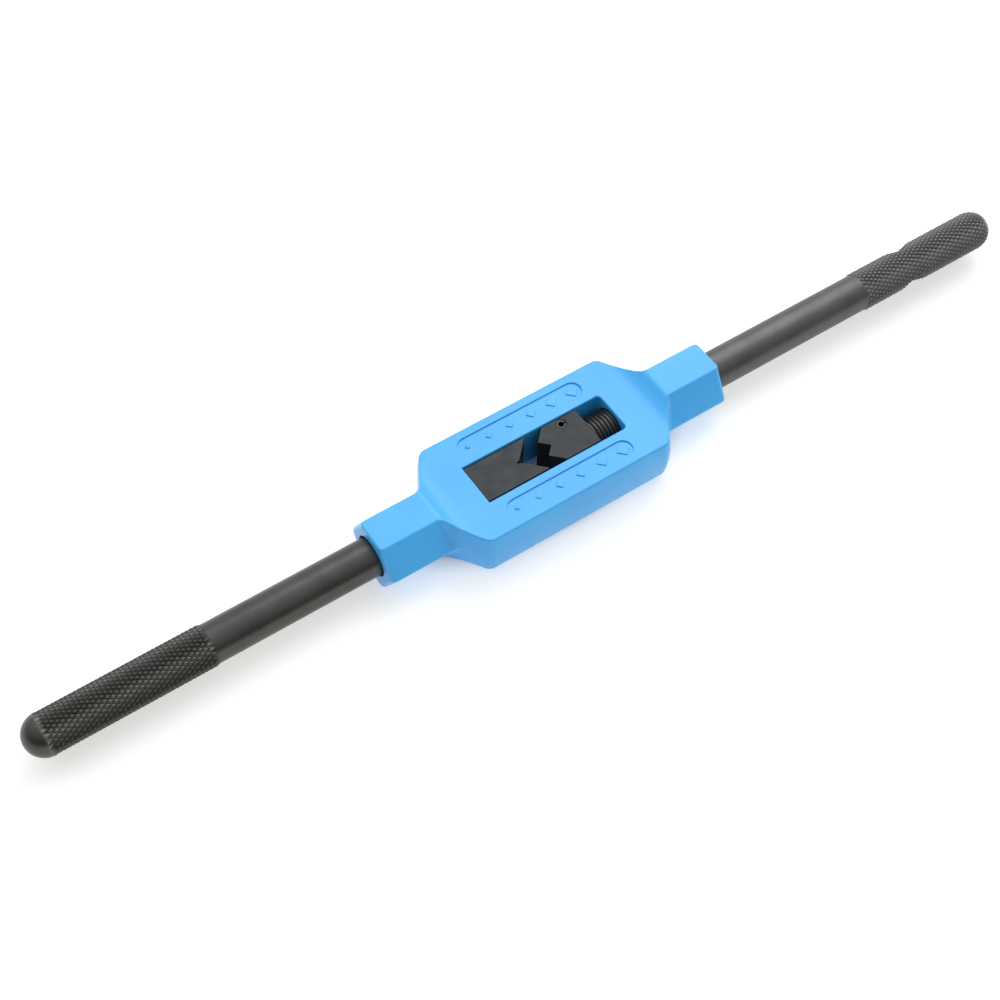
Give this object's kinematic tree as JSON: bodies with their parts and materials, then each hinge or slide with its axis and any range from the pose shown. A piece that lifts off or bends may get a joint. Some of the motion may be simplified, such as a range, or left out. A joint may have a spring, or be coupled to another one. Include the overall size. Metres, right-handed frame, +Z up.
{
  "type": "adjustable tap wrench",
  "caption": "Adjustable bar tap wrench: cast body with a square-gripping fixed and sliding jaw in its window, hexagonal necks and two knurled steel handles, one turning.",
  "frame": {"origin": "midway between the two handle ends and midway across the body, on the plane the tool rests on, with the jaws as stored", "axes": "+X along the handles toward the adjusting handle, +Y across the body, +Z up out of the face that carries the size marks, along the tap"},
  "size_m": [0.28, 0.0318, 0.016],
  "materials": {
    "body_paint": "blue powder coat on a zinc die casting",
    "jaw_steel": "blackened, ground faces",
    "pin_steel": "blackened spring steel",
    "handle_steel": "blackened, oiled, with a diamond knurl at the end"
  },
  "bodies": {
    "housing": {"body": "body_paint", "fixed_jaw": "jaw_steel", "fixed_handle": "handle_steel"},
    "sliding_jaw": {"movable_jaw": "jaw_steel", "jaw_pin": "pin_steel"},
    "spindle": {"adjusting_handle": "handle_steel"}
  },
  "joints": [
    {"name": "jaw_slide", "type": "slide", "parent": "housing", "child": "sliding_jaw", "axis": [1, 0, 0], "range_m": [-0.0048, 0.007]},
    {"name": "handle_turn", "type": "hinge", "parent": "sliding_jaw", "child": "spindle", "pos_m": [0.045, 0, 0.008], "axis": [1, 0, 0], "range_deg": [-1728, 2520]}
  ],
  "couplings": [
    {"joint": "jaw_slide", "follows": "handle_turn", "m_per_rad": 0.00015915}
  ]
}
